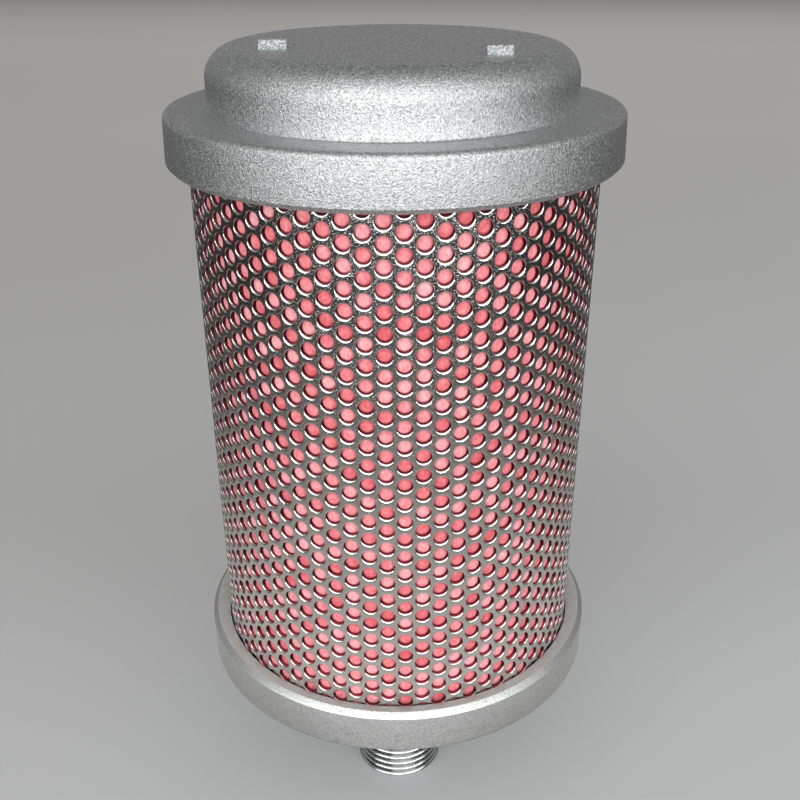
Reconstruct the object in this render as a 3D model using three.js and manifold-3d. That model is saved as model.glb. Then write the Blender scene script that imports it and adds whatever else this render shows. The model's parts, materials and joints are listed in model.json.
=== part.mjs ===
// Screw-in exhaust muffler for compressed air: two cast end caps, a perforated
// outer tube, a felt cartridge round a perforated core, and a threaded nipple.
// Millimetres, +Z up, origin on the axis at the nipple's open end.

import * as THREE from 'three';
import { mergeVertices } from 'three/addons/utils/BufferGeometryUtils.js';
import Module from 'manifold-3d';

const wasm = await Module();
wasm.setup();

// ---------------------------------------------------------------- dimensions
const SEG = 48;                    // facets round the large turned pieces
const SEG_S = 32;                  // facets round the small turned pieces
const GAP = 0.3;                   // clearance kept between neighbouring pieces

// pipe thread on the nipple (half-inch parallel pipe thread)
const THREAD_MAJOR_R = 10.4775;
const THREAD_MINOR_R = 9.3155;
const THREAD_PITCH = 1.8143;
const THREAD_TURNS = 10;
const NIPPLE_BORE_R = 7.5;
const NIPPLE_SHANK_R = 10.2;
const NIPPLE_TOP_Z = 56.0;
const HEX_AF = 27.0;               // spanner hexagon of the nipple
const HEX_Z0 = 22.0;
const HEX_Z1 = 31.0;

// cast bottom cap
const BC_HUB_Z = 33.0;             // underside of the domed hub
const BC_DOME_R = 34.0;
const BC_DOME_FILLET = 7.0;
const BC_FLANGE_Z = 42.1;          // underside of the rim flange
const BC_R = 44.1;                 // outer wall
const BC_RIM_Z = 50.8;             // start of the bright bevel
const BC_TOP_Z = 51.9;             // crest of the rim
const BC_TOP_R = 43.0;
const BC_WELL_R = 41.0;            // wall of the well that the tube stands in
const BC_SEAT_Z = 44.5;            // gasket seat

// perforated outer tube (plain shell here)
const TUBE_R = 40.0;
const TUBE_T = 1.0;
const TUBE_Z0 = 46.5;
const TUBE_Z1 = 161.6;
const TUBE_SEG = 72;               // one facet per column of perforations

// cast top cap
const TC_FLANGE_R = 44.2;
const TC_LOW_R = 43.35;
const TC_LOW_Z = 155.8;
const TC_WALL_Z = 156.7;
const TC_FLANGE_Z = 165.6;         // flat of the flange at its rim
const TC_FLANGE_FILLET = 1.3;
const TC_DOME_R = 35.2;
const TC_FOOT_Z = 165.9;           // where the dome's wall meets that flat
const TC_TOP_Z = 176.6;
const TC_DOME_FILLET = 8.1;
const TC_GROOVE_R = 40.7;
const TC_GROOVE_Z = 163.4;
const TC_SKIRT_R = 38.7;
const TC_SKIRT_Z = 158.0;
const LUG_H = 1.65;                // spanner lugs standing on the dome
const LUG_D = 3.2;
const LUGS = [                     // [centre x, front face y, width]
  [-21.9, -9.9, 5.4],
  [18.1, -19.0, 4.8],
];

// felt cartridge and its carrier
const CORE_R = 24.0;
const CORE_T = 0.8;
const PACK_Z0 = 46.8;
const PACK_Z1 = 156.0;
const FELT_IN_R0 = 24.3;
const FELT_IN_R1 = 31.4;
const FELT_OUT_R0 = 31.7;
const FELT_OUT_R1 = 38.7;
const PLATE_R = 38.6;
const PLATE_T = 1.2;

// diffuser pipe and the stud that the top cap screws onto
const PIPE_R = 8.7;
const PIPE_BORE_R = 7.4;
const PIPE_Z0 = 50.3;
const PIPE_Z1 = 153.0;
const PIPE_HOLE_R = 3.0;
const PIPE_ROWS = 7;
const STUD_R = 6.0;
const STUD_TOP_Z = 171.0;
const BOSS_R = 13.5;
const BOSS_Z = 164.6;
const INSERT_R = 9.0;
const INSERT_BORE_R = 6.3;

// ------------------------------------------------------------------- helpers
function clean(geometry) {
  let g = geometry.clone();
  g.deleteAttribute('normal');
  g.deleteAttribute('uv');
  g = mergeVertices(g, 1e-4);
  const p = g.attributes.position;
  const src = g.index.array;
  const out = [];
  const a = new THREE.Vector3(), b = new THREE.Vector3(), c = new THREE.Vector3();
  let volume = 0;
  for (let i = 0; i < src.length; i += 3) {
    const [i0, i1, i2] = [src[i], src[i + 1], src[i + 2]];
    if (i0 === i1 || i1 === i2 || i0 === i2) continue;
    a.fromBufferAttribute(p, i0);
    b.fromBufferAttribute(p, i1);
    c.fromBufferAttribute(p, i2);
    volume += a.dot(b.cross(c)) / 6;
    out.push(i0, i1, i2);
  }
  if (volume < 0) {
    for (let i = 0; i < out.length; i += 3) [out[i + 1], out[i + 2]] = [out[i + 2], out[i + 1]];
  }
  g.setIndex(out);
  return g;
}

function toSolid(geometry) {
  const g = clean(geometry);
  return new wasm.Manifold(new wasm.Mesh({
    numProp: 3,
    vertProperties: new Float32Array(g.attributes.position.array),
    triVerts: new Uint32Array(g.index.array),
  }));
}

function fromSolid(solid) {
  const m = solid.getMesh();
  const g = new THREE.BufferGeometry();
  const n = m.numProp;
  const pos = new Float32Array((m.vertProperties.length / n) * 3);
  for (let i = 0; i < pos.length / 3; i++) {
    pos[3 * i] = m.vertProperties[n * i];
    pos[3 * i + 1] = m.vertProperties[n * i + 1];
    pos[3 * i + 2] = m.vertProperties[n * i + 2];
  }
  g.setAttribute('position', new THREE.BufferAttribute(pos, 3));
  g.setIndex(Array.from(m.triVerts));
  return g;
}

// a turned piece: [radius, height] points revolved about the Z axis
function turned(profile, segments = SEG) {
  const pts = profile.map(([r, z]) => new THREE.Vector2(r, z));
  return new THREE.LatheGeometry(pts, segments).rotateX(Math.PI / 2);
}

// closed rectangular section revolved about the Z axis
function ring(r0, r1, z0, z1, segments = SEG) {
  return turned([[r0, z0], [r1, z0], [r1, z1], [r0, z1], [r0, z0]], segments);
}

// points of an arc from angle a0 to a1 (degrees) about (cr, cz)
function arc(cr, cz, radius, a0, a1, steps) {
  const out = [];
  for (let i = 0; i <= steps; i++) {
    const t = THREE.MathUtils.degToRad(a0 + ((a1 - a0) * i) / steps);
    out.push([cr + radius * Math.cos(t), cz + radius * Math.sin(t)]);
  }
  return out;
}

// hexagonal nut blank with a round hole, flats facing +X and -X
function hexBlank(acrossFlats, holeR, height, holeSegments = SEG_S) {
  const shape = new THREE.Shape();
  const R = acrossFlats / Math.sqrt(3);
  for (let i = 0; i < 6; i++) {
    const t = THREE.MathUtils.degToRad(30 + 60 * i);
    if (i === 0) shape.moveTo(R * Math.cos(t), R * Math.sin(t));
    else shape.lineTo(R * Math.cos(t), R * Math.sin(t));
  }
  shape.closePath();
  const hole = new THREE.Path();
  for (let i = 0; i < holeSegments; i++) {
    const t = (-2 * Math.PI * i) / holeSegments;
    if (i === 0) hole.moveTo(holeR * Math.cos(t), holeR * Math.sin(t));
    else hole.lineTo(holeR * Math.cos(t), holeR * Math.sin(t));
  }
  hole.closePath();
  shape.holes.push(hole);
  return new THREE.ExtrudeGeometry(shape, { depth: height, bevelEnabled: false });
}

// blank whose corners are turned off at both ends like a real nut
function nut(acrossFlats, holeR, height) {
  const blank = toSolid(hexBlank(acrossFlats, holeR, height));
  const R = acrossFlats / Math.sqrt(3);
  const flat = acrossFlats / 2 - 0.2;
  const drop = (R - flat) * 0.5;
  const turnedOff = toSolid(turned([
    [0, 0], [flat, 0], [R + 0.4, drop + 0.2], [R + 0.4, height - drop - 0.2], [flat, height], [0, height],
  ], 36));
  return fromSolid(blank.intersect(turnedOff));
}

const material = (color, roughness, metalness) =>
  new THREE.MeshStandardMaterial({ color, roughness, metalness });

const castAluminium = material(0xb4b8b8, 0.5, 0.9);
const perforatedSteel = material(0xa3a39e, 0.32, 1.0);
const plainSteel = material(0x8f9294, 0.42, 1.0);
const chromedSteel = material(0xc9cccf, 0.14, 1.0);
const pinkFelt = material(0xe0808c, 0.95, 0.0);
const greyFelt = material(0xb9b4ac, 0.95, 0.0);
const sealRubber = material(0x202124, 0.8, 0.0);
const sealFibre = material(0x9a3b2c, 0.75, 0.0);

function piece(name, geometry, mat, z = 0) {
  const mesh = new THREE.Mesh(clean(geometry), mat.clone());
  mesh.name = name;
  mesh.position.z = z;
  return mesh;
}

// ------------------------------------------------------------- inlet nipple
// half-inch pipe thread below, spanner hexagon, plain shank through the cap
function nippleProfile() {
  const p = [[NIPPLE_BORE_R + 0.6, 0], [THREAD_MINOR_R, 0]];
  const z0 = 0.55;
  for (let i = 0; i < THREAD_TURNS; i++) {
    const z = z0 + i * THREAD_PITCH;
    p.push([THREAD_MAJOR_R, z + THREAD_PITCH * 0.42]);
    p.push([THREAD_MAJOR_R, z + THREAD_PITCH * 0.58]);
    p.push([THREAD_MINOR_R, z + THREAD_PITCH]);
  }
  p.push([THREAD_MINOR_R - 0.15, HEX_Z0 - 2.4]);
  p.push([THREAD_MINOR_R - 0.15, HEX_Z0]);
  p.push([11.2, HEX_Z0 + 0.4]);
  p.push([11.2, HEX_Z1 - 0.4]);
  p.push([NIPPLE_SHANK_R, HEX_Z1]);
  p.push([NIPPLE_SHANK_R, NIPPLE_TOP_Z - 0.6]);
  p.push([NIPPLE_SHANK_R - 0.5, NIPPLE_TOP_Z]);
  p.push([PIPE_R + GAP, NIPPLE_TOP_Z]);
  p.push([PIPE_R + GAP, PIPE_Z0 - GAP]);
  p.push([NIPPLE_BORE_R, PIPE_Z0 - GAP]);
  p.push([NIPPLE_BORE_R, 0.6]);
  p.push([NIPPLE_BORE_R + 0.6, 0]);
  return p;
}
const hexCollar = new THREE.BufferGeometry().copy(nut(HEX_AF, 9.8, HEX_Z1 - HEX_Z0));
hexCollar.translate(0, 0, HEX_Z0);
const nippleGeometry = fromSolid(
  toSolid(turned(nippleProfile(), SEG_S)).add(toSolid(hexCollar)),
);

// --------------------------------------------------------------- bottom cap
function bottomCapProfile() {
  return [
    [NIPPLE_SHANK_R + 0.35, BC_HUB_Z],
    ...arc(BC_DOME_R - BC_DOME_FILLET, BC_HUB_Z + BC_DOME_FILLET, BC_DOME_FILLET, -90, 0, 5),
    [BC_DOME_R + 0.3, BC_FLANGE_Z - 0.7],
    [BC_DOME_R + 1.0, BC_FLANGE_Z],
    ...arc(BC_R - 1.5, BC_FLANGE_Z + 1.5, 1.5, -90, 0, 3),
    [BC_R + 0.05, BC_RIM_Z],
    [BC_TOP_R, BC_TOP_Z],
    [BC_WELL_R, BC_TOP_Z - 0.37],
    [BC_WELL_R, BC_SEAT_Z],
    [33.5, BC_SEAT_Z],
    [31.5, 40.0],
    [29.0, 37.2],
    [27.5, 37.0],
    [NIPPLE_SHANK_R + 0.35, 37.0],
    [NIPPLE_SHANK_R + 0.35, BC_HUB_Z],
  ];
}

// ------------------------------------------------------------------ top cap
function topCapProfile() {
  return [
    [0, TC_TOP_Z],
    ...arc(TC_DOME_R - TC_DOME_FILLET, TC_TOP_Z - TC_DOME_FILLET, TC_DOME_FILLET, 90, 0, 6),
    [TC_DOME_R + 0.05, TC_FOOT_Z + 0.5],
    [TC_DOME_R + 0.55, TC_FOOT_Z],
    ...arc(TC_FLANGE_R - TC_FLANGE_FILLET, TC_FLANGE_Z - TC_FLANGE_FILLET, TC_FLANGE_FILLET, 90, 0, 4),
    [TC_FLANGE_R, TC_WALL_Z],
    [TC_LOW_R, TC_LOW_Z],
    [TC_GROOVE_R, TC_LOW_Z],
    [TC_GROOVE_R, TC_GROOVE_Z],
    [TC_SKIRT_R, TC_GROOVE_Z],
    [TC_SKIRT_R, TC_SKIRT_Z],
    [36.4, TC_SKIRT_Z],
    [36.4, 162.2],
    [31.6, 165.8],
    [31.6, 169.2],
    [28.6, 172.2],
    [BOSS_R, 172.2],
    [BOSS_R, BOSS_Z],
    [INSERT_R + GAP, BOSS_Z],
    [INSERT_R + GAP, 171.6],
    [0, 171.6],
  ];
}
let topCap = toSolid(turned(topCapProfile()));
for (const [x, yFront, width] of LUGS) {
  const lug = new THREE.BoxGeometry(width, LUG_D, LUG_H + 1.2);
  lug.translate(x, yFront + LUG_D / 2, TC_TOP_Z + LUG_H - (LUG_H + 1.2) / 2);
  topCap = topCap.add(toSolid(lug));
}
const topCapGeometry = fromSolid(topCap);

// ------------------------------------------------------------ diffuser pipe
let pipe = toSolid(ring(PIPE_BORE_R, PIPE_R, 0, PIPE_Z1 - PIPE_Z0, 24));
const pipePitch = (PIPE_Z1 - PIPE_Z0 - 22) / (PIPE_ROWS - 1);
for (let row = 0; row < PIPE_ROWS; row++) {
  for (let k = 0; k < 2; k++) {
    const drill = new THREE.CylinderGeometry(PIPE_HOLE_R, PIPE_HOLE_R, 4 * PIPE_R, 8);
    drill.rotateZ(Math.PI / 2);
    drill.rotateZ((k * Math.PI) / 2 + (row % 2 ? Math.PI / 4 : 0));
    drill.translate(0, 0, 12 + row * pipePitch);
    pipe = pipe.subtract(toSolid(drill));
  }
}
const pipeGeometry = fromSolid(pipe);

// plug that closes the pipe, with the stud for the cap on its upper side
const plugProfile = [
  [0, 146.0], [PIPE_BORE_R - GAP, 146.0], [PIPE_BORE_R - GAP, PIPE_Z1 + GAP],
  [12.0, PIPE_Z1 + GAP], [12.0, PACK_Z1], [STUD_R, PACK_Z1],
  [STUD_R, STUD_TOP_Z - 0.8], [STUD_R - 0.8, STUD_TOP_Z], [0, STUD_TOP_Z],
];

// pressed end plates with a collar that centres the core tube
const bottomPlateProfile = [
  [NIPPLE_SHANK_R + 0.4, PACK_Z0 - 1.5], [PLATE_R, PACK_Z0 - 1.5], [PLATE_R, PACK_Z0 - GAP],
  [CORE_R - CORE_T - GAP, PACK_Z0 - GAP], [CORE_R - CORE_T - GAP, PACK_Z0 + 2.8],
  [CORE_R - CORE_T - GAP - 1.2, PACK_Z0 + 2.8], [CORE_R - CORE_T - GAP - 1.2, PACK_Z0 - GAP],
  [NIPPLE_SHANK_R + 0.4, PACK_Z0 - GAP], [NIPPLE_SHANK_R + 0.4, PACK_Z0 - 1.5],
];
const topPlateProfile = [
  [STUD_R + 0.4, PACK_Z1 + GAP + PLATE_T], [PLATE_R, PACK_Z1 + GAP + PLATE_T],
  [PLATE_R, PACK_Z1 + GAP], [CORE_R - CORE_T - GAP, PACK_Z1 + GAP],
  [CORE_R - CORE_T - GAP, PACK_Z1 - 2.8], [CORE_R - CORE_T - GAP - 1.2, PACK_Z1 - 2.8],
  [CORE_R - CORE_T - GAP - 1.2, PACK_Z1 + GAP], [STUD_R + 0.4, PACK_Z1 + GAP],
  [STUD_R + 0.4, PACK_Z1 + GAP + PLATE_T],
];

// ----------------------------------------------------------------- assembly
const muffler = new THREE.Group();
muffler.name = 'screw_in_muffler';

const base = new THREE.Group();
base.add(piece('inlet_nipple', nippleGeometry, chromedSteel));
base.add(piece('nipple_sealing_washer', ring(10.6, 16.8, 0, 1.4), sealFibre, HEX_Z1 + GAP));
base.add(piece('bottom_cap', turned(bottomCapProfile()), castAluminium));
base.add(piece('nipple_lock_washer', ring(10.6, 16.5, 0, 1.4, SEG_S), plainSteel, 37.3));
base.add(piece('nipple_lock_nut', nut(30, 10.55, 6.0), plainSteel, 39.0));
base.add(piece('bottom_felt_pad', ring(17.8, 28.5, 0, 7.4, 36), greyFelt, 37.6));
base.add(piece('bottom_gasket', ring(38.9, 40.7, 0, 1.4, 40), sealRubber, BC_SEAT_Z + GAP));
muffler.add(base);

const cartridge = new THREE.Group();
cartridge.add(piece('core_bottom_plate', turned(bottomPlateProfile, 40), plainSteel));
cartridge.add(piece('diffuser_pipe', pipeGeometry, plainSteel, PIPE_Z0));
cartridge.add(piece('pipe_end_stud', turned(plugProfile, SEG_S), plainSteel));
cartridge.add(piece('core_tube', ring(CORE_R - CORE_T, CORE_R, 0, PACK_Z1 - PACK_Z0), perforatedSteel, PACK_Z0));
cartridge.add(piece('felt_inner_wrap', ring(FELT_IN_R0, FELT_IN_R1, 0, PACK_Z1 - PACK_Z0), pinkFelt, PACK_Z0));
cartridge.add(piece('felt_outer_wrap', ring(FELT_OUT_R0, FELT_OUT_R1, 0, PACK_Z1 - PACK_Z0), pinkFelt, PACK_Z0));
cartridge.add(piece('core_top_plate', turned(topPlateProfile, 40), plainSteel));
cartridge.add(piece('core_washer', ring(STUD_R + 0.4, 12.0, 0, 1.2, SEG_S), plainSteel, PACK_Z1 + 1.8));
cartridge.add(piece('core_lock_nut', nut(18, STUD_R + GAP, 5.0), plainSteel, PACK_Z1 + 3.3));
muffler.add(cartridge);

muffler.add(piece('outer_perforated_tube', ring(TUBE_R - TUBE_T, TUBE_R, 0, TUBE_Z1 - TUBE_Z0, TUBE_SEG), perforatedSteel, TUBE_Z0));

const lid = new THREE.Group();
lid.add(piece('top_gasket', ring(39.0, 40.4, 0, 1.2), sealRubber, TUBE_Z1 + GAP));
lid.add(piece('top_cap', topCapGeometry, castAluminium));
lid.add(piece('cap_thread_insert', ring(INSERT_BORE_R, INSERT_R, 0, 6.4, SEG_S), plainSteel, BOSS_Z + GAP));
lid.add(piece('top_felt_pad', ring(BOSS_R + GAP, 28.0, 0, 6.0, 36), greyFelt, 165.9));
muffler.add(lid);

export default muffler;
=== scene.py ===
# Looks of the screw-in exhaust muffler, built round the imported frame.
# Shapes are worked out in millimetres and scaled to metres when a mesh is made.

import json
import math

import bmesh
import bpy
import numpy as np
from mathutils import Matrix, Vector

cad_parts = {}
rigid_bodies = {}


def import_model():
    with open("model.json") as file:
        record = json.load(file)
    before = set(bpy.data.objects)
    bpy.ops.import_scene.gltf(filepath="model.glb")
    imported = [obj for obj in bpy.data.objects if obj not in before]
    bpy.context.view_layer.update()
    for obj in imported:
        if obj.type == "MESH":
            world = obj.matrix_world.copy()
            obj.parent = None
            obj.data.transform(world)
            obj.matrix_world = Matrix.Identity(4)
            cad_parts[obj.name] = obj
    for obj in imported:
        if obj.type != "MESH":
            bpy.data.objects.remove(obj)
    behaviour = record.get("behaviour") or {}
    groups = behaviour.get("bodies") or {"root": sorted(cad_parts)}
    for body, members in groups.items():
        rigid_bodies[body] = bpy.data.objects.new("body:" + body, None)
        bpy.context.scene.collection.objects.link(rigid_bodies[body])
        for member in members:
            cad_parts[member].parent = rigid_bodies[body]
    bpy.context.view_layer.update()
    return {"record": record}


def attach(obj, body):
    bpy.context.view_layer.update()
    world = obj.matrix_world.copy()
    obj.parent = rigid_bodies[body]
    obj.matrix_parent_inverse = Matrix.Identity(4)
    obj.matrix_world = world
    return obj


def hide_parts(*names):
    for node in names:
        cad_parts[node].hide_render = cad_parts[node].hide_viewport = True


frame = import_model()

scene = bpy.context.scene
MM = 0.001
TAU = 2.0 * math.pi
rng = np.random.default_rng(11)

scene.view_settings.view_transform = "Standard"
scene.view_settings.look = "None"
scene.view_settings.exposure = 0.0
scene.view_settings.gamma = 1.0


# ------------------------------------------------------------------- camera
def add_camera():
    pitch, roll = math.radians(27.41), math.radians(0.289)
    fwd = Vector((0, math.cos(pitch), -math.sin(pitch)))
    up = Vector((0, math.sin(pitch), math.cos(pitch)))
    right = Vector((1, 0, 0))
    r2 = right * math.cos(roll) - up * math.sin(roll)
    u2 = right * math.sin(roll) + up * math.cos(roll)
    data = bpy.data.cameras.new("camera")
    data.sensor_width = 36.0
    data.lens = 46.3455
    data.shift_x = 0.0
    data.shift_y = 0.0375
    data.clip_start, data.clip_end = 0.01, 20.0
    cam = bpy.data.objects.new("camera", data)
    scene.collection.objects.link(cam)
    m = Matrix((
        (r2.x, u2.x, -fwd.x, 0.000675),
        (r2.y, u2.y, -fwd.y, -0.20427),
        (r2.z, u2.z, -fwd.z, 0.20078),
        (0, 0, 0, 1),
    ))
    cam.matrix_world = m
    scene.camera = cam


add_camera()


# ------------------------------------------------------------ mesh building
def new_object(name, verts, faces, uvs=None, normals=None):
    """verts in mm; faces a list of index tuples; uvs and normals one row for each face corner."""
    me = bpy.data.meshes.new(name)
    me.from_pydata((np.asarray(verts, float) * MM).tolist(), [], faces)
    me.polygons.foreach_set("use_smooth", np.ones(len(me.polygons), bool))
    if uvs is not None:
        layer = me.uv_layers.new(name="OFBake")
        layer.data.foreach_set("uv", np.asarray(uvs, np.float32).ravel())
    me.update()
    if normals is not None:
        me.normals_split_custom_set(np.asarray(normals, np.float32).reshape(-1, 3).tolist())
    ob = bpy.data.objects.new(name, me)
    scene.collection.objects.link(ob)
    return ob


def tidy(ob, weld=1e-7, sharp=0.5):
    """Welds coinciding points, drops faces with no area and marks the edges that fold more than sharp radians."""
    bm = bmesh.new()
    bm.from_mesh(ob.data)
    bmesh.ops.remove_doubles(bm, verts=bm.verts, dist=weld)
    bmesh.ops.dissolve_degenerate(bm, edges=bm.edges, dist=weld)
    for e in bm.edges:
        if len(e.link_faces) == 2 and e.calc_face_angle() > sharp:
            e.smooth = False
    bm.to_mesh(ob.data)
    bm.free()
    ob.data.update()
    return ob


def rounded(points, steps=5):
    """[(r, z) or (r, z, fillet)] -> polyline with the fillets drawn, as a closed ring."""
    pts = [np.array(p[:2], float) for p in points]
    n, out = len(pts), []
    for i, p in enumerate(pts):
        rad = points[i][2] if len(points[i]) > 2 else 0.0
        if rad <= 0:
            out.append(p)
            continue
        a, b = pts[i - 1] - p, pts[(i + 1) % n] - p
        la, lb = np.linalg.norm(a), np.linalg.norm(b)
        a, b = a / la, b / lb
        ang = math.acos(float(np.clip(a @ b, -1, 1)))
        t = min(rad / math.tan(ang / 2), la * 0.499, lb * 0.499)
        rr = t * math.tan(ang / 2)
        cen = p + (a + b) / np.linalg.norm(a + b) * rr / math.sin(ang / 2)
        s, e = p + a * t - cen, p + b * t - cen
        a0, a1 = math.atan2(s[1], s[0]), math.atan2(e[1], e[0])
        d = (a1 - a0 + math.pi) % TAU - math.pi
        k_n = max(3, int(steps * max(1.0, math.sqrt(rad))))
        for k in range(k_n + 1):
            an = a0 + d * k / k_n
            out.append(cen + rr * np.array([math.cos(an), math.sin(an)]))
    return np.array(out)


def lathe(name, prof, n=192, sharp=0.5):
    """Revolves a closed (r, z) ring, counter-clockwise with r to the right, about the Z axis."""
    prof = np.asarray(prof, float)
    m = len(prof)
    th = TAU * np.arange(n) / n
    r, z = prof[:, 0], prof[:, 1]
    verts = np.stack([
        np.outer(np.sin(th), r), -np.outer(np.cos(th), r), np.tile(z, (n, 1))
    ], -1).reshape(-1, 3)
    length = np.concatenate([[0], np.cumsum(np.linalg.norm(np.roll(prof, -1, 0) - prof, axis=1))])
    length /= length[-1]
    faces, uvs = [], []
    for i in range(n):
        i2, u0, u1 = (i + 1) % n, i / n, (i + 1) / n
        for j in range(m):
            j2 = (j + 1) % m
            if r[j] < 1e-6 and r[j2] < 1e-6:
                continue
            v0, v1 = length[j], length[j + 1]
            faces.append((i * m + j, i2 * m + j, i2 * m + j2, i * m + j2))
            uvs += [(u0, v0), (u1, v0), (u1, v1), (u0, v1)]
    return tidy(new_object(name, verts, faces, uvs), 1e-7, sharp)


def join_into(ob, *others):
    """Puts the other meshes' faces into ob, with their own material slots."""
    bpy.ops.object.select_all(action="DESELECT")
    for o in (ob, *others):
        o.select_set(True)
    bpy.context.view_layer.objects.active = ob
    bpy.ops.object.join()
    return ob


# --------------------------------------------------------- perforated walls
class Lattice:
    """Staggered holes round a cylinder. Each hole has a six-sided cell; cells share their edge points."""

    def __init__(self, r_mid, cols, pitch, z_ref, z0, z1, k, phase=0.0, margin=0.3):
        self.r_mid, self.cols, self.pitch, self.k, self.phase = r_mid, cols, pitch, k, phase
        self.z0, self.z1 = z0, z1
        self.s = TAU * r_mid / cols
        s, h = self.s, pitch / 2
        cells, lows, highs = [], [], []
        for i in range(cols):
            first = z_ref + (h if i % 2 else 0.0)
            lo = math.ceil((z0 + margin + h - first) / pitch)
            hi = math.floor((z1 - margin - h - first) / pitch)
            cells += [(i * s, first + pitch * j) for j in range(lo, hi + 1)]
            lows.append(first + pitch * lo)
            highs.append(first + pitch * hi)
        self.cells = np.array(cells)
        six = [(2 * s / 3, 0), (s / 3, h), (-s / 3, h), (-2 * s / 3, 0), (-s / 3, -h), (s / 3, -h)]
        edge = []
        for a, b in zip(six, six[1:] + six[:1]):
            edge += [tuple(np.array(a) + (np.array(b) - np.array(a)) * q / k) for q in range(k)]
        self.edge = np.array(edge)                       # 6k offsets
        self.turn = TAU * np.arange(6 * k) / (6 * k)     # matching angles on a circle
        pts = self.cells[:, None, :] + self.edge[None, :, :]
        keys = np.round(pts.reshape(-1, 2) * 1000).astype(np.int64)
        around = int(round(cols * s * 1000))
        keys[:, 0] = np.mod(keys[:, 0], around)
        # points that differ by rounding only share a key
        keys = (keys + 2) // 5
        keys[:, 0] = np.mod(keys[:, 0], (around + 2) // 5)
        _, first, inverse = np.unique(keys, axis=0, return_index=True, return_inverse=True)
        self.points = pts.reshape(-1, 2)[first]          # welded edge points
        self.ids = inverse.reshape(len(self.cells), 6 * k)
        self.keys = {tuple(key): n for key, n in zip(keys[first], range(len(first)))}
        self.around = around
        self.low_chain = self._chain(lows, -1)
        self.high_chain = self._chain(highs, 1)

    def find(self, a, z):
        key = np.round(np.array([a, z]) * 1000).astype(np.int64)
        key[0] = key[0] % self.around
        key = (key + 2) // 5
        key[0] = key[0] % ((self.around + 2) // 5)
        for da in (0, -1, 1):
            for dz in (0, -1, 1):
                got = self.keys.get((int((key[0] + da) % ((self.around + 2) // 5)), int(key[1] + dz)))
                if got is not None:
                    return got
        raise ValueError("no edge point there")

    def _chain(self, rows, side):
        """(unwrapped a, z, point index) along the free edge of the cells, once round."""
        s, h, k = self.s, self.pitch / 2, self.k
        out = []
        for i in range(self.cols):
            z_here, z_next = rows[i] + side * h, rows[(i + 1) % self.cols] + side * h
            a0, a1, a2 = i * s - s / 3, i * s + s / 3, (i + 1) * s - s / 3
            out += [(a0 + (a1 - a0) * q / k, z_here) for q in range(k)]
            out += [(a1 + (a2 - a1) * q / k, z_here + (z_next - z_here) * q / k) for q in range(k)]
        return [(a, z, self.find(a, z)) for a, z in out]

    def frames(self, a):
        """Outward and along-the-wall directions at unwrapped position a."""
        phi = self.phase + np.asarray(a, float) / self.r_mid
        zero = np.zeros_like(phi)
        return np.stack([np.sin(phi), -np.cos(phi), zero], -1), np.stack([np.cos(phi), np.sin(phi), zero], -1)

    def place(self, a, z, r):
        out, _ = self.frames(a)
        p = out * np.asarray(r, float)[..., None] if np.ndim(r) else out * r
        p[..., 2] = z
        return p

    def u(self, a):
        return (np.asarray(a, float) + 0.7 * self.s) / (self.s * (self.cols + 0.5))


def quads_of(lower, upper):
    """Corner indices of the quads between two rings of points that both run the same way round."""
    return np.stack([lower, np.roll(lower, -1, -1), np.roll(upper, -1, -1), upper], -1).reshape(-1, 4)


def corner_rows(lower, upper):
    """The same arrangement for data of each ring point: (..., n, d) -> (quads, 4, d)."""
    d = lower.shape[-1]
    return np.stack([lower, np.roll(lower, -1, -2), np.roll(upper, -1, -2), upper], -2).reshape(-1, 4, d)


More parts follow.
